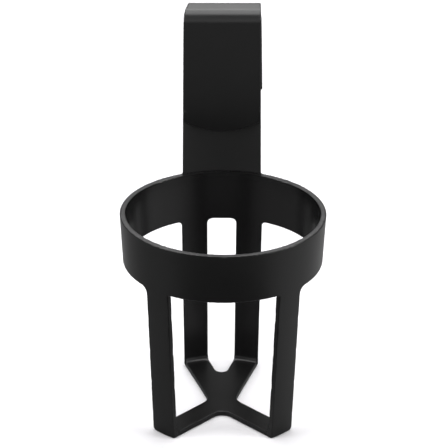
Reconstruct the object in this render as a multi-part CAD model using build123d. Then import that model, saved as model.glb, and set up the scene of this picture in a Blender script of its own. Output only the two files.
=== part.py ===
from build123d import *
import math
import os

# Hanging cup holder moulded in one piece: a shallow ring on four legs and a flat cross-shaped base,
# with a back strap that rises behind the ring and turns over into a sprung panel clip.
# Millimetres. Origin: centre of the base's underside, on the ring's axis. +Z up, +Y towards the clip.
# Each region of the moulding is its own solid, and neighbouring regions meet face to face.

# Cup ring
RIM_OUTER_R = 40.0              # outer radius at the rim
BORE_R = 37.7                   # straight land that guides the cup
BORE_LENGTH = 10.0
RING_HEIGHT = 20.0
RING_TOP_Z = 84.5
RING_BOTTOM_Z = RING_TOP_Z - RING_HEIGHT
RING_BOTTOM_OUTER_R = 38.9
RING_BOTTOM_INNER_R = 36.9

# Legs: strips of a tapered shell that carries on down from the ring.
# Edges across a leg are given inner then outer, and so are the rounds.
FRONT_FOOT_RADII = (32.2, 34.3)
FRONT_LEG_ANGLE = 41.7          # azimuth of a front leg's middle, from straight forward
FRONT_LEG_TOP = (-5.85, 5.1)
FRONT_LEG_BOTTOM = (-4.75, 6.4)
FRONT_ROOT_ROUNDS = (0.8, 3.0)
REAR_FOOT_RADII = (34.0, 36.0)
REAR_LEG_TOP = (5.8, 16.15)
REAR_LEG_BOTTOM = (5.45, 15.1)
REAR_ROOT_ROUNDS = (1.9, 1.5)
FOOT_CORNER_ROUND = 1.6

# Base cross
BASE_THICKNESS = 2.2
FRONT_ARM_ANGLE = 43.2          # from straight forward
FRONT_ARM_WIDTH = 9.0
FRONT_ARM_START_Y = -1.7
REAR_ARM_ANGLE = 16.5           # from straight back
REAR_ARM_WIDTH = 9.4
REAR_ARM_START_Y = -0.8
HUB_CORE_R = 4.3                # fills in between the square ends of the four arms
FRONT_NOTCH_ROUND = 4.4
SIDE_NOTCH_ROUND = 7.0
REAR_NOTCH_ROUND = 2.7
HUB_FRONT_REACH = 15.0          # along an arm, from where the arms start to the end of the hub
HUB_REAR_REACH = 24.5
REAR_HEEL_FLARE = 20.0          # length over which a rear arm widens to its leg
HEEL_COVE_R = 1.8               # concave round between the base and the inside of each leg

# Back strap
STRAP_BOTTOM_EDGES = (-15.75, 15.5)     # left and right edges at the rim
STRAP_TOP_EDGES = (-15.4, 14.75)        # the same where the clip starts to bend over
STRAP_FRONT_Y = 34.4
STRAP_THICKNESS = 3.6
STRAP_BACK_Y = STRAP_FRONT_Y + STRAP_THICKNESS
BROW_LOW_Z = 103.5              # lowest point of the curved lower end of the flat strap
BROW_RADIUS = 27.9
SHELL_FADE_START_Z = 105.0      # from here up the curved back dies into the strap's flat back
SHELL_TOP_Z = 112.0

# Clip over the top of the strap
CLIP_TOP_Z = 153.5
CLIP_BEND_R = 4.5               # outer radius of both bends
CLIP_BACK_Y = 49.4              # outside of the tongue
BRIDGE_THICKNESS = 3.0
FRONT_INNER_BEND_R = 1.5
REAR_INNER_BEND_R = 1.9
BEND_START_Z = CLIP_TOP_Z - CLIP_BEND_R
CLIP_LEFT_X = (-15.4, -13.0)    # left edge at the strap's front and at the tongue: moulded slightly askew
CLIP_RIGHT_X = (14.75, 15.0)
TONGUE_THICKNESS = 2.6
TONGUE_BOTTOM_Z = 116.0
TONGUE_BOTTOM_EDGES = (-12.5, 16.0)
TONGUE_SHOULDER = (15.4, 146.0)     # X, Z where the right edge steps out below the bend
TONGUE_LEAD_IN = 0.9            # chamfer inside the lower end

# Flexing line of the clip, at mid-thickness where the bridge meets the rear bend.
# The tongue's knuckle lies in a hollow in the end of the bridge.
FLEX_Y = CLIP_BACK_Y - CLIP_BEND_R
FLEX_Z = CLIP_TOP_Z - BRIDGE_THICKNESS / 2
KNUCKLE_R = BRIDGE_THICKNESS / 2
KNUCKLE_CLEARANCE = 0.05

REACH = 80.0                    # how far cutting shapes run, well past everything


def revolved(points):
    """A solid of revolution about Z, from radius and height pairs."""
    return revolve(Plane.XZ * make_face(Polyline(*points, close=True)), Axis.Z)


def from_front(outline):
    """A prism that runs all the way through from front to back, from an X and Z outline."""
    return extrude(Plane.XZ * outline, amount=REACH, both=True)


def from_side(outline):
    """A prism that runs all the way through from left to right, from a Y and Z outline."""
    return extrude(Plane.YZ * outline, amount=REACH, both=True)


def area(*points):
    return make_face(Polyline(*points, close=True))


def span(low, high):
    """A rectangle between two opposite corners."""
    width = high[0] - low[0]
    height = high[1] - low[1]
    return Pos(low[0] + width / 2, low[1] + height / 2) * Rectangle(width, height)


def rounded(outline, near, radius):
    """The outline with its corner nearest to a point rounded."""
    corner = outline.vertices().sort_by_distance((*near, 0))[0]
    return fillet(corner, radius)


def mirrored(solid, side):
    """The right-hand solid as it is, or its mirror image for the left."""
    return solid if side > 0 else mirror(solid, about=Plane.YZ)


def cup_ring():
    return revolved([
        (BORE_R, RING_TOP_Z),
        (RIM_OUTER_R, RING_TOP_Z),
        (RING_BOTTOM_OUTER_R, RING_BOTTOM_Z),
        (RING_BOTTOM_INNER_R, RING_BOTTOM_Z),
        (BORE_R, RING_TOP_Z - BORE_LENGTH),
    ])


def leg_shell(foot_radii):
    """The tapered wall that a pair of legs is cut from."""
    return revolved([
        (foot_radii[0], 0),
        (foot_radii[1], 0),
        (RING_BOTTOM_OUTER_R, RING_BOTTOM_Z),
        (RING_BOTTOM_INNER_R, RING_BOTTOM_Z),
    ])


def leg_outline(top_edges, bottom_edges, root_rounds):
    """A leg seen square on, from the floor to the ring, with concave rounds at its root."""
    outline = area(
        (bottom_edges[0], 0),
        (bottom_edges[1], 0),
        (top_edges[1], RING_BOTTOM_Z),
        (top_edges[0], RING_BOTTOM_Z),
    )
    outline += span((-REACH, RING_BOTTOM_Z), (REACH, RING_TOP_Z))
    for edge, radius in zip(top_edges, root_rounds):
        outline = rounded(outline, (edge, RING_BOTTOM_Z), radius)
    outline = rounded(outline, (bottom_edges[1], 0), FOOT_CORNER_ROUND)
    return outline & span((-REACH, 0), (REACH, RING_BOTTOM_Z))


def front_leg(side):
    outline = leg_outline(FRONT_LEG_TOP, FRONT_LEG_BOTTOM, FRONT_ROOT_ROUNDS)
    blank = Rot(0, 0, FRONT_LEG_ANGLE) * extrude(Plane.XZ * outline, amount=REACH)
    return mirrored(leg_shell(FRONT_FOOT_RADII) & blank, side)


def rear_leg(side):
    outline = leg_outline(REAR_LEG_TOP, REAR_LEG_BOTTOM, REAR_ROOT_ROUNDS)
    blank = extrude(Plane.XZ * outline, amount=-REACH)
    return mirrored(leg_shell(REAR_FOOT_RADII) & blank, side)


def arm_strip(azimuth, width, start_y, skipped=0.0):
    """A strip of the base seen from above; skipped is how far along the arm it starts."""
    strip = span((-width / 2, -REACH), (width / 2, -skipped))
    return Pos(0, start_y) * Rot(0, 0, azimuth) * strip


def heel_flare():
    """The wedge, seen from above, that widens the right rear arm to the full width of its leg."""
    slope = math.tan(math.radians(REAR_ARM_ANGLE))
    outer_x = REAR_LEG_BOTTOM[1]
    heel_y = math.sqrt(REAR_FOOT_RADII[1] ** 2 - outer_x ** 2)
    edge_x = REAR_ARM_WIDTH / 2 / math.cos(math.radians(REAR_ARM_ANGLE))
    start_y = heel_y - REAR_HEEL_FLARE
    start_x = edge_x + (start_y - REAR_ARM_START_Y) * slope
    inside_x = start_x - REAR_ARM_WIDTH / 2
    end_y = REAR_FOOT_RADII[1]
    return area(
        (inside_x, start_y),
        (start_x, start_y),
        (outer_x, heel_y),
        (outer_x, end_y),
        (inside_x, end_y),
    )


def base_cross():
    """The outline of the whole base, running on under and past the legs."""
    cross = Pos(0, (FRONT_ARM_START_Y + REAR_ARM_START_Y) / 2) * Circle(HUB_CORE_R)
    for side in (-1, 1):
        cross += arm_strip(side * FRONT_ARM_ANGLE, FRONT_ARM_WIDTH, FRONT_ARM_START_Y)
        cross += arm_strip(180 - side * REAR_ARM_ANGLE, REAR_ARM_WIDTH, REAR_ARM_START_Y)
    cross = rounded(cross, (0, -HUB_FRONT_REACH / 2), FRONT_NOTCH_ROUND)
    cross = rounded(cross, (0, HUB_REAR_REACH / 2), REAR_NOTCH_ROUND)
    for side in (-1, 1):
        cross = rounded(cross, (side * FRONT_ARM_WIDTH / 2, 0), SIDE_NOTCH_ROUND)
    flare = heel_flare()
    return cross + flare + mirror(flare, about=Plane.YZ)


def arm_zones():
    """Each arm's name, with the area that it takes out of the base cross and its leg's foot radii."""
    wide = 2 * FRONT_ARM_WIDTH
    zones = {}
    for name, side in (("left", -1), ("right", 1)):
        front = arm_strip(side * FRONT_ARM_ANGLE, wide, FRONT_ARM_START_Y, HUB_FRONT_REACH)
        rear = arm_strip(180 - side * REAR_ARM_ANGLE, wide, REAR_ARM_START_Y, HUB_REAR_REACH)
        half = span((min(0, side * REACH), -REACH), (max(0, side * REACH), REACH))
        zones[f"front_{name}_arm"] = (front & half, FRONT_FOOT_RADII)
        zones[f"rear_{name}_arm"] = (rear & half, REAR_FOOT_RADII)
    return zones


def inner_radius(foot_radii, height):
    """Radius of the inside of a leg at a height."""
    return foot_radii[0] + (RING_BOTTOM_INNER_R - foot_radii[0]) * height / RING_BOTTOM_Z


def heel_cove(foot_radii):
    """A ring of concave fillet between the top of the base and the inside of the legs."""
    top = BASE_THICKNESS + HEEL_COVE_R
    high_r = inner_radius(foot_radii, top)
    middle_r = high_r - HEEL_COVE_R
    corner = area(
        (middle_r, BASE_THICKNESS),
        (inner_radius(foot_radii, BASE_THICKNESS), BASE_THICKNESS),
        (high_r, top),
        (middle_r, top),
    )
    section = corner - Pos(middle_r, top) * Circle(HEEL_COVE_R)
    return revolve(Plane.XZ * section, Axis.Z)


def base_parts():
    """The hub and the four arms. Each arm ends against the inside of its leg."""
    cross = base_cross()
    parts = {}
    hub = cross
    for name, (zone, foot_radii) in arm_zones().items():
        hub -= zone
        outline = cross & zone
        inside_legs = revolved([
            (0, 0),
            (foot_radii[0], 0),
            (inner_radius(foot_radii, BASE_THICKNESS), BASE_THICKNESS),
            (0, BASE_THICKNESS),
        ])
        cove = heel_cove(foot_radii) & extrude(outline, amount=BASE_THICKNESS + 2 * HEEL_COVE_R)
        parts[name] = (extrude(outline, amount=BASE_THICKNESS) & inside_legs) + cove
    parts["base_hub"] = extrude(hub, amount=BASE_THICKNESS)
    return parts


def strap_width():
    """The tapering width of the strap, from the rim to the start of the clip's bend."""
    return from_front(area(
        (STRAP_BOTTOM_EDGES[0], RING_TOP_Z),
        (STRAP_BOTTOM_EDGES[1], RING_TOP_Z),
        (STRAP_TOP_EDGES[1], BEND_START_Z),
        (STRAP_TOP_EDGES[0], BEND_START_Z),
    ))


def above_brow():
    """Everything above the curved line where the flat strap starts."""
    centre_z = BROW_LOW_Z + BROW_RADIUS
    outline = Pos(0, centre_z) * Circle(BROW_RADIUS)
    outline += span((-BROW_RADIUS, centre_z), (BROW_RADIUS, CLIP_TOP_Z))
    return from_front(outline)


def flat_strap():
    """The whole flat strap, from the brow up to the clip's bend."""
    slab = from_side(span((STRAP_FRONT_Y, RING_TOP_Z), (STRAP_BACK_Y, BEND_START_Z)))
    return slab & strap_width() & above_brow()


def strap_levels():
    """Two prisms that part the strap where its back has become flat: below and above that height."""
    below = from_front(span((-REACH, RING_TOP_Z), (REACH, SHELL_TOP_Z)))
    above = from_front(span((-REACH, SHELL_TOP_Z), (REACH, BEND_START_Z)))
    return below, above


def upper_strap():
    """The part of the strap with a flat front and a flat back."""
    return flat_strap() & strap_levels()[1]


def back_plate():
    """The curved wall that carries on up from the ring, with the flat strap growing out of its front."""
    shell = revolved([
        (BORE_R, RING_TOP_Z),
        (RIM_OUTER_R, RING_TOP_Z),
        (RIM_OUTER_R, SHELL_TOP_Z),
        (BORE_R, SHELL_TOP_Z),
    ])
    side_view = from_side(area(
        (0, RING_TOP_Z),
        (RIM_OUTER_R, RING_TOP_Z),
        (RIM_OUTER_R, SHELL_FADE_START_Z),
        (STRAP_BACK_Y, SHELL_TOP_Z),
        (0, SHELL_TOP_Z),
    ))
    wall = shell & strap_width() & side_view
    return wall + (flat_strap() & strap_levels()[0])


def clip_profile():
    """The clip seen from the side: over the strap's top and down to the tongue's lower end."""
    profile = span((STRAP_FRONT_Y, TONGUE_BOTTOM_Z), (CLIP_BACK_Y, CLIP_TOP_Z))
    profile = rounded(profile, (STRAP_FRONT_Y, CLIP_TOP_Z), CLIP_BEND_R)
    profile = rounded(profile, (CLIP_BACK_Y, CLIP_TOP_Z), CLIP_BEND_R)
    roof_z = CLIP_TOP_Z - BRIDGE_THICKNESS
    tongue_front_y = CLIP_BACK_Y - TONGUE_THICKNESS
    gap = span((STRAP_BACK_Y, TONGUE_BOTTOM_Z), (tongue_front_y, roof_z))
    gap = rounded(gap, (STRAP_BACK_Y, roof_z), FRONT_INNER_BEND_R)
    gap = rounded(gap, (tongue_front_y, roof_z), REAR_INNER_BEND_R)
    lead_in = area(
        (tongue_front_y, TONGUE_BOTTOM_Z),
        (tongue_front_y + TONGUE_LEAD_IN, TONGUE_BOTTOM_Z),
        (tongue_front_y, TONGUE_BOTTOM_Z + TONGUE_LEAD_IN),
    )
    return profile - gap - lead_in


def clip_plan():
    """The clip seen from above: its left edge runs in towards the tongue."""
    outline = area(
        (CLIP_LEFT_X[0], STRAP_FRONT_Y),
        (CLIP_RIGHT_X[0], STRAP_FRONT_Y),
        (CLIP_RIGHT_X[1], CLIP_BACK_Y),
        (CLIP_LEFT_X[1], CLIP_BACK_Y),
    )
    return Pos(0, 0, BEND_START_Z) * extrude(outline, amount=CLIP_BEND_R)


def clip_bridge():
    """The front bend and the flat top of the clip, hollowed at the rear for the knuckle."""
    side_view = clip_profile() & span((STRAP_FRONT_Y, BEND_START_Z), (FLEX_Y, CLIP_TOP_Z))
    side_view -= Pos(FLEX_Y, FLEX_Z) * Circle(KNUCKLE_R + KNUCKLE_CLEARANCE)
    return from_side(side_view) & clip_plan()


def clip_tongue():
    """The rear bend and the sprung leaf that grips the panel."""
    bend = clip_profile() & span((FLEX_Y, BEND_START_Z), (CLIP_BACK_Y, CLIP_TOP_Z))
    bend += Pos(FLEX_Y, FLEX_Z) * Circle(KNUCKLE_R)
    leaf = clip_profile() & span((FLEX_Y, TONGUE_BOTTOM_Z), (CLIP_BACK_Y, BEND_START_Z))
    leaf_width = from_front(area(
        (TONGUE_BOTTOM_EDGES[0], TONGUE_BOTTOM_Z),
        (TONGUE_BOTTOM_EDGES[1], TONGUE_BOTTOM_Z),
        TONGUE_SHOULDER,
        (CLIP_RIGHT_X[1], BEND_START_Z),
        (CLIP_LEFT_X[1], BEND_START_Z),
    ))
    return (from_side(bend) & clip_plan()) + (from_side(leaf) & leaf_width)


def all_parts():
    parts = {
        "cup_ring": cup_ring(),
        "back_plate": back_plate(),
        "upper_strap": upper_strap(),
        "clip_bridge": clip_bridge(),
        "clip_tongue": clip_tongue(),
    }
    for name, side in (("left", -1), ("right", 1)):
        parts[f"front_{name}_leg"] = front_leg(side)
        parts[f"rear_{name}_leg"] = rear_leg(side)
    parts.update(base_parts())
    return parts


def main():
    os.makedirs("parts", exist_ok=True)
    for name, solid in all_parts().items():
        export_step(solid, f"parts/{name}.step")


if __name__ == "__main__":
    main()
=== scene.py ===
"""Looks of the hanging cup holder: one satin black moulding, meshed from distance fields around the frame.

The holder is a single moulding, so its skin is made in one go and then parted into its named regions,
which meet without a seam. The fields are in millimetres; meshes, lights and camera are in metres.
"""
import math

import bmesh
import bpy
import numpy as np
import openvdb
from mathutils import Matrix, Vector


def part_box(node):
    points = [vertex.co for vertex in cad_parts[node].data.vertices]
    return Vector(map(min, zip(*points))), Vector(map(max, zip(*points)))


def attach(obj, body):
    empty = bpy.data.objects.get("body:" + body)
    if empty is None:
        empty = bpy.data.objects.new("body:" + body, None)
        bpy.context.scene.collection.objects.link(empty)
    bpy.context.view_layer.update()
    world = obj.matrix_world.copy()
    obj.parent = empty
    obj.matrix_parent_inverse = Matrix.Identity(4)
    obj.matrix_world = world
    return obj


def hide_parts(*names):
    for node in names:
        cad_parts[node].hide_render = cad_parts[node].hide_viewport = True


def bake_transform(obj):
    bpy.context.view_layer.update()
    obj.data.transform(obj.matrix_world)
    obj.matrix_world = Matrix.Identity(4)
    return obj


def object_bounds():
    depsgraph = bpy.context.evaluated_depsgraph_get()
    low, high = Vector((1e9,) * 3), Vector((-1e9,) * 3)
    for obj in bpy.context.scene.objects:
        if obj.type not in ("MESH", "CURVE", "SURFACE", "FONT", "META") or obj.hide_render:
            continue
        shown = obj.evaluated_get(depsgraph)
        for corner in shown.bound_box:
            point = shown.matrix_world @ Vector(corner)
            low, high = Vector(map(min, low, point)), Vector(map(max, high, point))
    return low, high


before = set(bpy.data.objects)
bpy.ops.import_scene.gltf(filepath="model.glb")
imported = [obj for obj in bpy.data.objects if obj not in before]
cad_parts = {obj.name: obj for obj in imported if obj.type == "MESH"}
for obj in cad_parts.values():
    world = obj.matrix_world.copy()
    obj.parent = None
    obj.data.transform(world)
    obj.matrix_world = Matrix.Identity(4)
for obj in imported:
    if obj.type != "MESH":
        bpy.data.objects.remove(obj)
cad_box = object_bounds()

MM = 0.001


def mm_box(node):
    """Lowest and highest corner of a CAD node, in millimetres."""
    low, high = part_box(node)
    return low / MM, high / MM


# Driving sizes read from the frame
RING_LOW, RING_HIGH = mm_box("cup_ring")
STRAP_LOW, STRAP_HIGH = mm_box("upper_strap")
TONGUE_LOW, TONGUE_HIGH = mm_box("clip_tongue")
RIM_R = RING_HIGH.x
RING_TOP = RING_HIGH.z
RING_BOTTOM = RING_LOW.z
STRAP_FRONT = STRAP_LOW.y
STRAP_BACK = STRAP_HIGH.y
STRAP_BASE = STRAP_LOW.z
BEND_START = STRAP_HIGH.z
CLIP_TOP = mm_box("clip_bridge")[1].z
CLIP_BACK = TONGUE_HIGH.y
TONGUE_BOTTOM = TONGUE_LOW.z
BASE_TOP = mm_box("base_hub")[1].z

# Wall of the ring and legs: inner and outer radius
RIM_INNER_R = 37.7
RING_FOOT_RADII = (36.9, 38.9)
FRONT_FOOT_RADII = (32.2, 34.3)
REAR_FOOT_RADII = (34.0, 36.0)

# Legs, across: edges at the floor and at the ring, inner then outer, and the rounds at their roots
FRONT_LEG_ANGLE = math.radians(41.7)
FRONT_LEG_EDGES = ((-4.75, -5.85), (6.4, 5.1))
FRONT_ROOT_ROUNDS = (0.8, 3.0)
REAR_LEG_EDGES = ((5.45, 5.8), (15.1, 16.15))
REAR_ROOT_ROUNDS = (1.9, 1.5)
FOOT_CORNER_ROUND = 1.6

# Base cross
FRONT_ARM_ANGLE = math.radians(43.2)
FRONT_ARM_WIDTH = 9.0
FRONT_ARM_START_Y = -1.7
REAR_ARM_ANGLE = math.radians(16.5)
REAR_ARM_WIDTH = 9.4
REAR_ARM_START_Y = -0.8
FRONT_NOTCH_ROUND = 4.4
SIDE_NOTCH_ROUND = 7.0
REAR_NOTCH_ROUND = 2.7
HUB_FRONT_REACH = 15.0
HUB_REAR_REACH = 24.5
HEEL_FLARE = 20.0
HEEL_COVE_R = 1.8
SIDE_COVE_R = 0.4               # between the sides of a front arm and its leg
ARM_END_INSET = 0.5             # of an arm's end in its leg: from outside in front, from inside behind

# Strap and clip
STRAP_EDGES = ((-15.75, -15.4), (15.5, 14.75))      # left and right, at the rim and at the bend
TONGUE_EDGES = ((-12.5, -13.0), (16.0, 15.0))       # the same, at the tongue's lower end and at the bend
TONGUE_SHOULDER = (15.4, 146.0)                     # across and up, where the tongue's right edge turns
SKEW_FADE = 8.0                 # below the bend, over which the edges of strap and tongue come together
BROW_LOW = 103.5
BROW_R = 27.9
BACK_FADE_START = 105.0
CLIP_BEND_R = 4.5
BRIDGE_THICKNESS = 3.0
INNER_BEND_RADII = (1.5, 1.9)
TONGUE_THICKNESS = 2.6
TONGUE_LEAD_IN = 0.9

# Moulding details
EDGE_R = 0.35                   # round on every outside edge
RIM_EDGE_R = 0.25               # the same at the rim
RIM_EDGE_DEPTH = 2.0            # how far below the rim's top that goes
BASE_EDGE_R = 0.2
BROW_DEPTH = 2.0                # how far behind the strap's back the brow still cuts
BROW_ROOT_R = 0.5               # concave round under the brow
BROW_ROOT_FADE = (0.5, 1.5)     # in front of the strap's back, over which that round comes in
STRAP_ROOT_R = 0.7              # where the strap's edges meet the rim
RIM_LINE_HEIGHT = 0.75          # the ring's inner face ends in a fine step this far up the back wall
RIM_LINE_STEP = 0.12
ROOT_OVERLAP = 5.0              # how far the legs and the back wall run on inside the ring's own wall

VOXEL = 0.5
COARSE = 4                      # the first look at the field uses every fourth grid point
FIELD_BAND = 3.0                # distances are kept up to this far from the skin
CHUNK = 12000                   # points handled at a time
MARGIN = 2 * VOXEL              # of the grid around the CAD box
SNAPS = 3                       # steps that bring each point onto the field's zero
SLOPE_STEP = 0.02               # how far to each side the field's slope is taken
TINY = 1e-9

# Where the skin is parted into pieces
FOOT_CUT = 5.0
LEG_CUT = RING_BOTTOM - 3.5
RIM_CUT = RING_TOP + 1.2
CLIP_SPLIT_Y = 42.0             # the strap is in front of this, the tongue behind
FAR = 1000.0                    # past everything
CUT_SNAP = 1e-4                 # points this close to a cutting plane are taken as on it


# ---------------------------------------------------------------- distance fields

def both(a, b, r=0.0):
    """Intersection of two fields, its outside edge rounded."""
    return np.minimum(np.maximum(a, b), -r) + np.hypot(np.maximum(a + r, 0), np.maximum(b + r, 0))


def either(a, b, r=0.0):
    """Union of two fields, its inside corner filled with a round."""
    return np.maximum(np.minimum(a, b), r) - np.hypot(np.maximum(r - a, 0), np.maximum(r - b, 0))


def notch(a, b, r, opening):
    """Solid around a wedge-shaped notch of that opening angle, from the fields of its two edges."""
    c = -math.cos(opening)
    p = r - a
    q = r - b
    arc = r - np.sqrt(np.maximum(p * p + q * q - 2 * c * p * q, 0)) / math.sqrt(1 - c * c)
    return np.where((p > c * q) & (q > c * p), arc, np.minimum(a, b))


def ramp(v, low, high):
    """0 below low, 1 above high, straight between."""
    return np.clip((v - low) / (high - low), 0, 1)


def smooth(v, low, high):
    t = ramp(v, low, high)
    return t * t * (3 - 2 * t)


def mix(pair, t):
    return pair[0] + (pair[1] - pair[0]) * t


def wall_radius(y, z, outside):
    """Inner (0) or outer (1) radius of the ring's and the legs' wall."""
    foot = np.where(y < 0, FRONT_FOOT_RADII[outside], REAR_FOOT_RADII[outside])
    ring = RING_FOOT_RADII[outside]
    rim = (RIM_INNER_R, RIM_R)[outside]
    return foot + (ring - foot) * ramp(z, 0, RING_BOTTOM) + (rim - ring) * ramp(z, RING_BOTTOM, RING_TOP)


def wall(x, y, z):
    """The thin round wall that the ring and all four legs are parts of."""
    rho = np.hypot(x, y)
    return np.maximum(rho - wall_radius(y, z, 1), wall_radius(y, z, 0) - rho)


def leg_strip(across, z, edges):
    """A leg seen square on, its outer foot corner rounded."""
    t = ramp(z, 0, RING_BOTTOM)
    inner = mix(edges[0], t) - across
    outer = both(across - mix(edges[1], t), -z, FOOT_CORNER_ROUND)
    return np.maximum(np.maximum(inner, outer), z - RING_BOTTOM - ROOT_OVERLAP)


def rooted(band, strip, across, edges, rounds):
    """The ring's band and a leg in one outline, with a round on each side of the root."""
    middle = (edges[0][1] + edges[1][1]) / 2
    return either(band, strip, np.where(across < middle, rounds[0], rounds[1]))


def ring_and_legs(x, y, z):
    band = np.maximum(z - RING_TOP, RING_BOTTOM - z)
    ax = np.abs(x)
    sin, cos = math.sin(FRONT_LEG_ANGLE), math.cos(FRONT_LEG_ANGLE)
    across = ax * cos + y * sin
    along = ax * sin - y * cos
    front = np.maximum(leg_strip(across, z, FRONT_LEG_EDGES), -along)
    outline = rooted(band, front, across, FRONT_LEG_EDGES, FRONT_ROOT_ROUNDS)
    rear = np.maximum(leg_strip(ax, z, REAR_LEG_EDGES), -y)
    behind = rooted(band, rear, ax, REAR_LEG_EDGES, REAR_ROOT_ROUNDS)
    outline = np.where(y < 0, outline, behind)
    outline = both(outline, -z, EDGE_R)
    edge = np.where(z > RING_TOP - RIM_EDGE_DEPTH, RIM_EDGE_R, EDGE_R)
    return both(wall(x, y, z), outline, edge)


def front_arm_across(x, y):
    return x * math.cos(FRONT_ARM_ANGLE) + (y - FRONT_ARM_START_Y) * math.sin(FRONT_ARM_ANGLE)


def rear_arm_across(x, y):
    return x * math.cos(REAR_ARM_ANGLE) - (y - REAR_ARM_START_Y) * math.sin(REAR_ARM_ANGLE)


def heel_flare(ax, y):
    """The line that widens a rear arm to its leg, as a field that is negative towards the arm."""
    outer_x = REAR_LEG_EDGES[1][0]
    heel_y = math.sqrt(REAR_FOOT_RADII[1] ** 2 - outer_x ** 2)
    start_y = heel_y - HEEL_FLARE
    edge_x = REAR_ARM_WIDTH / 2 / math.cos(REAR_ARM_ANGLE)
    start_x = edge_x + (start_y - REAR_ARM_START_Y) * math.tan(REAR_ARM_ANGLE)
    run = math.hypot(outer_x - start_x, HEEL_FLARE)
    return ((ax - start_x) * HEEL_FLARE - (y - start_y) * (outer_x - start_x)) / run


def base_cross(x, y):
    """Outline of the base seen from above: what four rounded notches leave."""
    half_front = FRONT_ARM_WIDTH / 2
    half_rear = REAR_ARM_WIDTH / 2
    ax = np.abs(x)
    front = notch(-front_arm_across(x, y) - half_front, -front_arm_across(-x, y) - half_front,
                  FRONT_NOTCH_ROUND, 2 * FRONT_ARM_ANGLE)
    rear = notch(-rear_arm_across(x, y) - half_rear, -rear_arm_across(-x, y) - half_rear,
                 REAR_NOTCH_ROUND, 2 * REAR_ARM_ANGLE)
    side = notch(front_arm_across(ax, y) - half_front, rear_arm_across(ax, y) - half_rear,
                 SIDE_NOTCH_ROUND, math.pi - FRONT_ARM_ANGLE - REAR_ARM_ANGLE)
    side = np.minimum(side, np.where(y > 0, heel_flare(ax, y), side))
    side = np.where(y > 0, np.maximum(side, ax - REAR_LEG_EDGES[1][0]), side)
    return np.maximum(np.maximum(front, rear), side)


def base(x, y, z):
    """The flat cross, curving up into the inside of each leg."""
    rho = np.hypot(x, y)
    coved = either(z - BASE_TOP, wall_radius(y, z, 0) - rho, HEEL_COVE_R)
    top = np.maximum(coved, z - BASE_TOP - HEEL_COVE_R)
    end = np.where(y < 0, wall_radius(y, z, 1) - ARM_END_INSET, wall_radius(y, z, 0) + ARM_END_INSET)
    outline = np.maximum(base_cross(x, y), rho - end)
    return both(outline, np.maximum(-z, top), BASE_EDGE_R)


def strap_width(x, y, z):
    """How far outside the strap's or the clip's edges: the clip is moulded slightly askew."""
    up = ramp(z, RING_TOP, BEND_START)
    tongue_up = ramp(z, TONGUE_BOTTOM, BEND_START)
    shoulder_x, shoulder_z = TONGUE_SHOULDER
    low_x, high_x = TONGUE_EDGES[1]
    above_shoulder = mix((high_x, shoulder_x), ramp(z, BEND_START, shoulder_z))
    below_shoulder = mix((low_x, shoulder_x), ramp(z, TONGUE_BOTTOM, shoulder_z))
    tongue_right = np.where(z > shoulder_z, above_shoulder, below_shoulder)
    through = ramp(y, STRAP_FRONT, CLIP_BACK)
    behind = (y > (STRAP_BACK + CLIP_BACK) / 2) * 1.0
    t = behind + (through - behind) * smooth(z, BEND_START - SKEW_FADE, BEND_START)
    left = mix(STRAP_EDGES[0], up) * (1 - t) + mix(TONGUE_EDGES[0], tongue_up) * t
    right = mix(STRAP_EDGES[1], up) * (1 - t) + tongue_right * t
    h = np.clip(z - RING_TOP, 0, STRAP_ROOT_R)
    flare = STRAP_ROOT_R - np.sqrt(np.maximum(STRAP_ROOT_R ** 2 - (STRAP_ROOT_R - h) ** 2, 0))
    return np.maximum(left - x, x - right) - flare


def clip_side(y, z):
    """The strap and clip seen from the side, without the strap's lower end."""
    roof = CLIP_TOP - BRIDGE_THICKNESS
    tongue_front = CLIP_BACK - TONGUE_THICKNESS
    front_bend_r, rear_bend_r = INNER_BEND_RADII
    outside = both(both(STRAP_FRONT - y, z - CLIP_TOP, CLIP_BEND_R), y - CLIP_BACK, CLIP_BEND_R)
    gap = both(both(STRAP_BACK - y, z - roof, front_bend_r), y - tongue_front, rear_bend_r)
    lead_in = (tongue_front + TONGUE_LEAD_IN - y + TONGUE_BOTTOM - z) / math.sqrt(2)
    tongue_end = both(TONGUE_BOTTOM - z, lead_in, EDGE_R)
    side = np.maximum(outside, -gap)
    return np.where(y > (STRAP_BACK + tongue_front) / 2, both(side, tongue_end, EDGE_R), side)


def brow(x, z):
    """Above the curved lower end of the flat strap."""
    centre = BROW_LOW + BROW_R
    return np.where(z < centre, np.hypot(x, z - centre), np.abs(x)) - BROW_R


def back_wall(x, y, z):
    """The round wall behind the rim, dying into the strap's flat back."""
    rho = np.hypot(x, y)
    fade = y - RIM_R + (RIM_R - STRAP_BACK) * smooth(z, BACK_FADE_START, STRAP_BASE)
    outside = np.maximum(np.maximum(rho - wall_radius(y, z, 1), fade), z - STRAP_BASE)
    below_line = np.maximum(RIM_INNER_R - rho, RING_TOP - ROOT_OVERLAP - z)
    above_line = np.maximum(RIM_INNER_R - RIM_LINE_STEP - rho, RING_TOP + RIM_LINE_HEIGHT - z)
    return np.maximum(outside, np.minimum(below_line, above_line))


def strap_and_clip(x, y, z):
    flat = clip_side(y, z)
    flat = np.where(y < STRAP_BACK + BROW_DEPTH, both(flat, brow(x, z), EDGE_R), flat)
    wall_behind = np.where(y > 0, back_wall(x, y, z), FIELD_BAND)
    root = BROW_ROOT_R * ramp(y, STRAP_BACK - BROW_ROOT_FADE[0], STRAP_BACK - BROW_ROOT_FADE[1])
    return both(either(flat, wall_behind, root), strap_width(x, y, z), EDGE_R)


def moulding(x, y, z):
    """Distance to the skin of the whole holder, negative inside."""
    body = ring_and_legs(x, y, z)
    body = either(body, base(x, y, z), np.where(y < 0, SIDE_COVE_R, 0))
    return np.minimum(body, strap_and_clip(x, y, z))


# ---------------------------------------------------------------- skin

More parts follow.
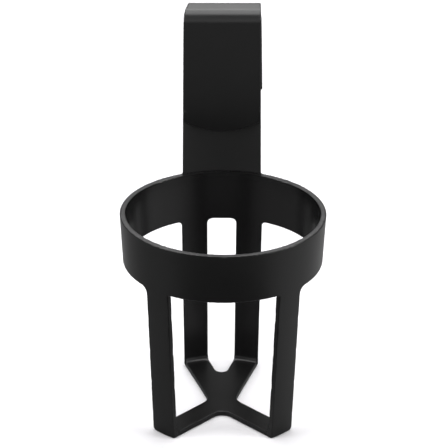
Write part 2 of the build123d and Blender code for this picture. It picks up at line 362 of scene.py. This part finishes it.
def field_at(points):
    """The moulding's field at each point, a chunk at a time."""
    values = np.empty(len(points), np.float32)
    for i in range(0, len(points), CHUNK):
        values[i:i + CHUNK] = moulding(*points[i:i + CHUNK].T)
    return values


def sampled(low, high):
    """The field on a regular grid: exact near the skin, and from a coarser grid elsewhere."""
    counts = [math.ceil((b - a) / VOXEL / COARSE) for a, b in zip(low, high)]
    coarse_step = COARSE * VOXEL
    middle = (COARSE - 1) / 2 * VOXEL
    coarse = np.indices(counts).reshape(3, -1).T * coarse_step + low + middle
    values = field_at(coarse).reshape(counts)
    for axis in range(3):
        values = values.repeat(COARSE, axis)
    near = np.abs(values) < coarse_step
    values[near] = field_at(np.argwhere(near) * VOXEL + low)
    return np.clip(values, -FIELD_BAND, FIELD_BAND)


def gradient(points):
    """Unit normals of the skin near each point."""
    g = np.empty_like(points)
    for axis in range(3):
        d = np.zeros(3)
        d[axis] = SLOPE_STEP
        g[:, axis] = field_at(points + d) - field_at(points - d)
    return g / np.maximum(np.linalg.norm(g, axis=1), TINY)[:, None]


def skin():
    """Points and quads of the skin: the points lie on the field's zero, inside the CAD box."""
    box_low, box_high = (np.array(corner) / MM for corner in cad_box)
    low = box_low - MARGIN
    high = box_high + MARGIN
    grid = openvdb.FloatGrid(FIELD_BAND)
    grid.copyFromArray(sampled(low, high).astype(np.float32))
    points, quads = grid.convertToQuads(0.0)
    points = points.astype(float) * VOXEL + low
    for _ in range(SNAPS):
        points -= gradient(points) * field_at(points)[:, None]
    return np.clip(points, box_low, box_high), quads


def part_planes():
    """Planes that part the skin: a point, a normal, and the height and depth up to which each cuts."""
    up = (0, 0, 1)
    planes = [((0, 0, z), up, FAR, FAR) for z in (FOOT_CUT, LEG_CUT, RIM_CUT, STRAP_BASE)]
    planes.append(((0, 0, BEND_START), up, FAR, CLIP_SPLIT_Y))
    for normal, start in arm_ends():
        planes.append((start, normal, FOOT_CUT, FAR))
    return planes


def arm_ends():
    """Where each arm leaves the hub: the way it points, and a point on the plane that parts them."""
    ends = []
    for side in (-1, 1):
        front = Vector((side * math.sin(FRONT_ARM_ANGLE), -math.cos(FRONT_ARM_ANGLE), 0))
        rear = Vector((side * math.sin(REAR_ARM_ANGLE), math.cos(REAR_ARM_ANGLE), 0))
        ends.append((front, Vector((0, FRONT_ARM_START_Y, 0)) + front * HUB_FRONT_REACH))
        ends.append((rear, Vector((0, REAR_ARM_START_Y, 0)) + rear * HUB_REAR_REACH))
    return ends


def parted(points, quads):
    """The skin cut along the planes between its regions, as points and polygons."""
    mesh = bpy.data.meshes.new("skin")
    mesh.from_pydata(points, [], quads.tolist())
    bm = bmesh.new()
    bm.from_mesh(mesh)
    for place, normal, top, back in part_planes():
        centres = [f.calc_center_median() for f in bm.faces]
        faces = [f for f, c in zip(bm.faces, centres) if c.z < top + VOXEL and c.y < back]
        edges = {e for f in faces for e in f.edges}
        verts = {v for f in faces for v in f.verts}
        bmesh.ops.bisect_plane(bm, geom=faces + list(edges) + list(verts), dist=CUT_SNAP,
                               plane_co=place, plane_no=normal)
    bm.to_mesh(mesh)
    bm.free()
    return mesh


def region_of(centres):
    """The name of the region that each face centre is in."""
    x, y, z = centres.T
    side = np.where(x < 0, "left", "right")
    end = np.where(y < 0, "front", "rear")
    corner = np.char.add(np.char.add(end, "_"), side)
    names = np.where(z < LEG_CUT, np.char.add(corner, "_leg"), "cup_ring")
    names = np.where(z > RIM_CUT, "back_plate", names)
    names = np.where(z > STRAP_BASE, "upper_strap", names)
    names = np.where((z > STRAP_BASE) & (y > CLIP_SPLIT_Y), "clip", names)
    names = np.where(z > BEND_START, "clip", names)
    on_arm = np.zeros(len(x), bool)
    for normal, start in arm_ends():
        on_arm |= (centres - np.array(start)) @ np.array(normal) > 0
    low = np.where(on_arm, np.char.add(corner, "_arm"), "base_hub")
    return np.where(z < FOOT_CUT, low, names)


def closed_piece(name, points, polygons):
    """A closed piece with flat caps where it was parted, shaded with the field's own normals."""
    used, numbers = np.unique(np.concatenate(polygons), return_inverse=True)
    faces = np.split(numbers, np.cumsum([len(p) for p in polygons])[:-1])
    mesh = bpy.data.meshes.new(name)
    mesh.from_pydata(points[used] * MM, [], [f.tolist() for f in faces])
    bm = bmesh.new()
    bm.from_mesh(mesh)
    open_edges = [e for e in bm.edges if e.is_boundary]
    caps = bmesh.ops.holes_fill(bm, edges=open_edges, sides=0)["faces"]
    for edge in open_edges:
        edge.smooth = False
    bmesh.ops.triangulate(bm, faces=caps)
    bmesh.ops.recalc_face_normals(bm, faces=bm.faces)
    bm.to_mesh(mesh)
    bm.free()
    skin_faces = len(polygons)
    mesh.polygons.foreach_set("use_smooth", np.ones(len(mesh.polygons), bool))
    corner_points = np.empty(len(mesh.loops), int)
    mesh.loops.foreach_get("vertex_index", corner_points)
    normals = gradient(points[used])[corner_points]
    for face in mesh.polygons[skin_faces:]:
        normals[list(face.loop_indices)] = face.normal
    mesh.normals_split_custom_set(normals)
    piece = bpy.data.objects.new(name, mesh)
    bpy.context.scene.collection.objects.link(piece)
    return piece


def make_pieces():
    """Every region of the skin as its own closed piece."""
    mesh = parted(*skin())
    points = np.empty(len(mesh.vertices) * 3)
    mesh.vertices.foreach_get("co", points)
    points = points.reshape(-1, 3)
    centres = np.empty(len(mesh.polygons) * 3)
    mesh.polygons.foreach_get("center", centres)
    names = region_of(centres.reshape(-1, 3))
    polygons = [np.array(p.vertices) for p in mesh.polygons]
    pieces = {}
    for name in sorted(set(names)):
        chosen = [polygons[i] for i in np.flatnonzero(names == name)]
        pieces[name] = closed_piece(str(name), points, chosen)
    bpy.data.meshes.remove(mesh)
    return pieces


# ---------------------------------------------------------------- material

PLASTIC_COLOUR = (0.003, 0.003, 0.0031, 1)
PLASTIC_SPECULAR = 0.5
ROUGHNESS = (0.29, 0.35)        # of the plain plastic, which varies from patch to patch
PATCH_SIZE = 14.0
PATCH_NOISE = (0.3, 0.7)        # where the noise gives the least and the most roughness
GRAIN_SIZE = 0.5                # the skin texture, how deep it is and how marked
GRAIN_DEPTH = 0.02
GRAIN_STRENGTH = 0.12

# The rim's flat top is rubbed greyer and rougher, more in some places than in others. The grey is partly
# painted sheen, standing in for the light that the upward-facing top catches.
RUBBED_SHEEN_COLOUR = (0.04, 0.039, 0.04, 1)
RUBBED_EXTRA = 0.12
RUBBED_SHEEN_FROM = (RING_TOP - 0.5, RING_TOP - 0.2)      # heights between which the rubbing and its painted sheen come in
RUBBED_SHEEN_TO = (RING_TOP + 0.2, RING_TOP + 0.4)        # and go again
RUBBED_SHEEN_FACING = (0.4, 0.8)      # how far up a face looks: no rubbing or painted sheen at the first, full at the second
SCUFF_SIZE = 1.6
SCUFF_NOISE = (0.35, 0.65)
SCUFF_WEAR = (0.25, 1)

# The hollow between the fine line above the rim and the brow is matt
MATT_ROUGHNESS = 0.55
MATT_UNDER_BROW = (BROW_R, BROW_R + 0.3)            # from the centre of the brow's curve
MATT_FROM = (RING_TOP + 0.7, RING_TOP + 0.9)
MATT_TO = (STRAP_BASE - 2, STRAP_BASE - 1)
MATT_FACING = (-0.6, -0.4)      # how far back a face looks: matt at the first, plain at the second

# The inside of the ring and of the legs is smoother
BORE_ROUGHNESS = 0.25
BORE_INWARD = (-25, -15)        # how far a face looks away from the axis, times its distance from it
BORE_TO = (RING_TOP - 0.3, RING_TOP)


def node(tree, kind, **settings):
    """A shader node; settings are its own properties, or the default values of its inputs by name."""
    made = tree.nodes.new(kind)
    for key, value in settings.items():
        if hasattr(made, key):
            setattr(made, key, value)
        else:
            made.inputs[key.replace("_", " ")].default_value = value
    return made


def feed(tree, source, socket):
    """Link a socket to another, or set it to a constant."""
    if isinstance(source, bpy.types.NodeSocket):
        tree.links.new(source, socket)
    else:
        socket.default_value = source


def maths(tree, operation, *sources):
    made = node(tree, "ShaderNodeMath", operation=operation)
    for source, socket in zip(sources, made.inputs):
        feed(tree, source, socket)
    return made.outputs[0]


def vector_maths(tree, operation, *sources):
    made = node(tree, "ShaderNodeVectorMath", operation=operation)
    for source, socket in zip(sources, made.inputs):
        feed(tree, source, socket)
    return made.outputs["Value" if operation in ("DOT_PRODUCT", "LENGTH") else "Vector"]


def mapped(tree, source, limits, to=(0, 1)):
    """The values between the limits spread over the second pair, and held at its ends beyond them."""
    made = node(tree, "ShaderNodeMapRange", From_Min=limits[0], From_Max=limits[1],
                To_Min=to[0], To_Max=to[1])
    tree.links.new(source, made.inputs["Value"])
    return made.outputs["Result"]


def metres(pair):
    return pair[0] * MM, pair[1] * MM


def product(tree, first, *others):
    for other in others:
        first = maths(tree, "MULTIPLY", first, other)
    return first


def mixed(tree, amount, plain, other):
    """From plain at 0 to other at 1."""
    made = node(tree, "ShaderNodeMixRGB")
    for name, source in (("Fac", amount), ("Color1", plain), ("Color2", other)):
        feed(tree, source, made.inputs[name])
    return made.outputs[0]


def grey(value):
    return (value, value, value, 1)


def noise(tree, place, size, detail=3.0, rough=0.5):
    """Noise with features of about that size in millimetres."""
    made = node(tree, "ShaderNodeTexNoise", Scale=1 / (size * MM), Detail=detail, Roughness=rough)
    tree.links.new(place, made.inputs["Vector"])
    return made.outputs["Fac"]


def between(tree, height, start, end):
    """1 above the first pair of heights and below the second, fading over each pair."""
    over = mapped(tree, height, metres(start))
    under = mapped(tree, height, metres(end), (1, 0))
    return product(tree, over, under)


def rim_mask(tree, height, facing_up):
    """The flat top of the rim."""
    level = between(tree, height, RUBBED_SHEEN_FROM, RUBBED_SHEEN_TO)
    return product(tree, level, mapped(tree, facing_up, RUBBED_SHEEN_FACING))


def hollow_mask(tree, place, height, facing_back):
    """The front of the back wall, from the fine line above the rim to the brow."""
    from_centre = vector_maths(tree, "MULTIPLY_ADD", place, (1, 0, 1), (0, 0, -(BROW_LOW + BROW_R) * MM))
    under_brow = mapped(tree, vector_maths(tree, "LENGTH", from_centre), metres(MATT_UNDER_BROW))
    forward = mapped(tree, facing_back, MATT_FACING, (1, 0))
    return product(tree, under_brow, between(tree, height, MATT_FROM, MATT_TO), forward)


def bore_mask(tree, place, height, normal):
    """The insides of the ring and the legs."""
    flat_place = vector_maths(tree, "MULTIPLY", place, (1, 1, 0))
    outward = vector_maths(tree, "DOT_PRODUCT", flat_place, normal)
    inward = mapped(tree, outward, metres(BORE_INWARD), (1, 0))
    return product(tree, inward, mapped(tree, height, metres(BORE_TO), (1, 0)))


def black_plastic():
    """Satin black moulded plastic: a fine skin texture, uneven gloss, a rubbed rim with painted sheen on
    its top, and a smoother bore.
    """
    material = bpy.data.materials.new("black_plastic")
    material.use_nodes = True
    tree = material.node_tree
    shader = tree.nodes["Principled BSDF"]
    shader.inputs["Specular IOR Level"].default_value = PLASTIC_SPECULAR
    place = node(tree, "ShaderNodeTexCoord").outputs["Object"]
    normal = node(tree, "ShaderNodeNewGeometry").outputs["Normal"]
    split = node(tree, "ShaderNodeSeparateXYZ")
    facing = node(tree, "ShaderNodeSeparateXYZ")
    feed(tree, place, split.inputs[0])
    feed(tree, normal, facing.inputs[0])
    height = split.outputs["Z"]

    scuffs = mapped(tree, noise(tree, place, SCUFF_SIZE, detail=4.0, rough=0.7), SCUFF_NOISE, SCUFF_WEAR)
    # Painted sheen: the rim's upward-facing top is painted greyer, partly rubbing and partly the light it
    # catches
    rubbed_and_sheen = product(tree, rim_mask(tree, height, facing.outputs["Z"]), scuffs)
    feed(tree, mixed(tree, rubbed_and_sheen, PLASTIC_COLOUR, RUBBED_SHEEN_COLOUR), shader.inputs["Base Color"])

    patchy = mapped(tree, noise(tree, place, PATCH_SIZE), PATCH_NOISE, ROUGHNESS)
    roughness = maths(tree, "ADD", patchy, mapped(tree, rubbed_and_sheen, (0, 1), (0, RUBBED_EXTRA)))
    hollow = hollow_mask(tree, place, height, facing.outputs["Y"])
    roughness = mixed(tree, hollow, roughness, grey(MATT_ROUGHNESS))
    bore = bore_mask(tree, place, height, normal)
    feed(tree, mixed(tree, bore, roughness, grey(BORE_ROUGHNESS)), shader.inputs["Roughness"])

    bump = node(tree, "ShaderNodeBump", Strength=GRAIN_STRENGTH, Distance=GRAIN_DEPTH * MM)
    feed(tree, noise(tree, place, GRAIN_SIZE), bump.inputs["Height"])
    feed(tree, bump.outputs["Normal"], shader.inputs["Normal"])
    return material


# ---------------------------------------------------------------- stage, lights and camera

VIEW_DISTANCE = 1.0
VIEW_ELEVATION = math.radians(24.818)
VIEW_AZIMUTH = math.radians(-0.753)
VIEW_ROLL = math.radians(0.334)
VIEW_AIM = (0.37, -4.69)        # millimetres right and up, from the rim's centre to the picture's middle
VIEW_LIMIT = 20.0
LENS = 207.7


def camera():
    """A long lens almost straight in front, about 25 degrees above the floor."""
    centre = Vector((0, 0, RING_TOP * MM))
    back = Vector((
        math.sin(VIEW_AZIMUTH) * math.cos(VIEW_ELEVATION),
        -math.cos(VIEW_AZIMUTH) * math.cos(VIEW_ELEVATION),
        math.sin(VIEW_ELEVATION),
    ))
    right = (-back).cross(Vector((0, 0, 1))).normalized()
    up = right.cross(-back)
    right, up = (right * math.cos(VIEW_ROLL) + up * math.sin(VIEW_ROLL),
                 up * math.cos(VIEW_ROLL) - right * math.sin(VIEW_ROLL))
    place = centre + back * VIEW_DISTANCE
    aim = centre + (right * VIEW_AIM[0] + up * VIEW_AIM[1]) * MM
    ahead = (aim - place).normalized()
    right = ahead.cross(up).normalized()
    up = right.cross(ahead)
    turn = Matrix((right, up, -ahead)).transposed()
    data = bpy.data.cameras.new("camera")
    data.lens = LENS
    data.clip_end = VIEW_LIMIT
    made = bpy.data.objects.new("camera", data)
    made.matrix_world = Matrix.Translation(place) @ turn.to_4x4()
    bpy.context.scene.collection.objects.link(made)
    bpy.context.scene.camera = made


SIDES = {
    "front": (0, -1, 0),
    "back": (0, 1, 0),
    "left": (-1, 0, 0),
    "right": (1, 0, 0),
    "above": (0, 0, 1),
}

# How bright the white studio is towards each side, as it lights the holder and mirrors in it, and how
# bright the floor mirrors towards each side, next to how it looks. Each side has a strength and a power:
# the higher the power, the narrower the glow.
STUDIO_GLOW = {
    "front": (1.0, 2),
    "back": (0.34, 8),
    "left": (0.4, 2),
    "right": (0.5, 2),
    "above": (0.5, 4),
}
FLOOR_GLOW = {
    "front": (0.28, 2),
    "back": (0.28, 2),
    "left": (0.16, 2),
    "right": (0.31, 2),
}

# Straight ahead of the holder the floor mirrors dark
DARK_STARTS = (0.055, 0.095)    # metres from the holder's axis, over which the dark comes in
DARK_ENDS = (0.12, 0.32)        # and over which it goes again
DARK_SPREAD = (0.5, 0.9)        # cosine off straight ahead: light at the first, dark at the second

FLOOR_SIZE = 12.0
FLOOR_Z = -0.00002              # a hair under the holder's feet
FLOOR_COLOUR = (0.9, 0.89, 0.91, 1)
FLOOR_ROUGHNESS = 0.9
FLOOR_SPECULAR = 0.1
WHITE = (1, 1, 1, 1)
HOLDER_MIDDLE = (0, 0, 0.08)
CLIP_MIDDLE = (0, 0.04, 0.15)


def glow(tree, direction, strengths):
    """Brightness by direction: each side's strength, times a power of how squarely it is faced."""
    total = 0.0
    for side, (strength, power) in strengths.items():
        towards = mapped(tree, vector_maths(tree, "DOT_PRODUCT", direction, SIDES[side]), (0, 1))
        lobe = maths(tree, "POWER", towards, power)
        total = maths(tree, "ADD", product(tree, lobe, strength), total)
    return total


def floor():
    """A plain pale floor. It mirrors darker in the plastic than it looks, as beyond a pool of light."""
    bpy.ops.mesh.primitive_plane_add(size=FLOOR_SIZE, location=(0, 0, FLOOR_Z))
    made = bpy.context.object
    made.name = "floor"
    material = bpy.data.materials.new("floor")
    material.use_nodes = True
    tree = material.node_tree
    shader = tree.nodes["Principled BSDF"]
    shader.inputs["Roughness"].default_value = FLOOR_ROUGHNESS
    shader.inputs["Specular IOR Level"].default_value = FLOOR_SPECULAR
    position = node(tree, "ShaderNodeNewGeometry").outputs["Position"]
    flat = vector_maths(tree, "MULTIPLY", position, (1, 1, 0))
    distance = vector_maths(tree, "LENGTH", flat)
    way = vector_maths(tree, "NORMALIZE", flat)
    ahead = mapped(tree, vector_maths(tree, "DOT_PRODUCT", way, SIDES["front"]), DARK_SPREAD)
    beyond = mapped(tree, distance, DARK_STARTS)
    close = mapped(tree, distance, DARK_ENDS, (1, 0))
    light_left = mapped(tree, product(tree, ahead, beyond, close), (0, 1), (1, 0))
    mirrored = product(tree, glow(tree, way, FLOOR_GLOW), light_left)
    in_plastic = node(tree, "ShaderNodeLightPath").outputs["Is Glossy Ray"]
    feed(tree, mixed(tree, in_plastic, FLOOR_COLOUR, mirrored), shader.inputs["Base Color"])
    made.data.materials.append(material)


def surroundings():
    """A white studio, brightest on the camera's side. The camera itself sees it plain white."""
    world = bpy.data.worlds.new("studio")
    bpy.context.scene.world = world
    world.use_nodes = True
    tree = world.node_tree
    direction = node(tree, "ShaderNodeTexCoord").outputs["Generated"]
    seen = node(tree, "ShaderNodeLightPath").outputs["Is Camera Ray"]
    colour = mixed(tree, seen, glow(tree, direction, STUDIO_GLOW), WHITE)
    feed(tree, colour, tree.nodes["Background"].inputs["Color"])


def softbox(name, place, size, power, aim=HOLDER_MIDDLE):
    """An area light that the camera does not see."""
    data = bpy.data.lights.new(name, "AREA")
    data.shape = "RECTANGLE"
    data.size, data.size_y = size
    data.energy = power
    made = bpy.data.objects.new(name, data)
    made.location = place
    made.visible_camera = False
    made.rotation_euler = (Vector(aim) - Vector(place)).to_track_quat("-Z", "Y").to_euler()
    bpy.context.scene.collection.objects.link(made)


def lights():
    """Soft light from above and both sides, and a small box behind that lights the clip's flat top."""
    softbox("overhead", place=(0, 0.2, 1.3), size=(1.2, 1.0), power=13)
    for name, side in (("left", -1), ("right", 1)):
        softbox(name, place=(side * 1.1, -0.3, 0.6), size=(0.5, 0.9), power=7)
    softbox("behind", place=(0, 0.17, 0.255), size=(0.2, 0.1), power=0.185, aim=CLIP_MIDDLE)


# ---------------------------------------------------------------- scene

SHOWN_BY = {"clip": ("clip_bridge", "clip_tongue")}
finish = black_plastic()
for name, piece in make_pieces().items():
    piece.data.materials.append(finish)
    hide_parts(*SHOWN_BY.get(name, (name,)))
    if name == "clip":
        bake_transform(piece)
    else:
        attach(piece, "holder")

camera()
floor()
surroundings()
lights()
bpy.context.scene.view_settings.view_transform = "Standard"
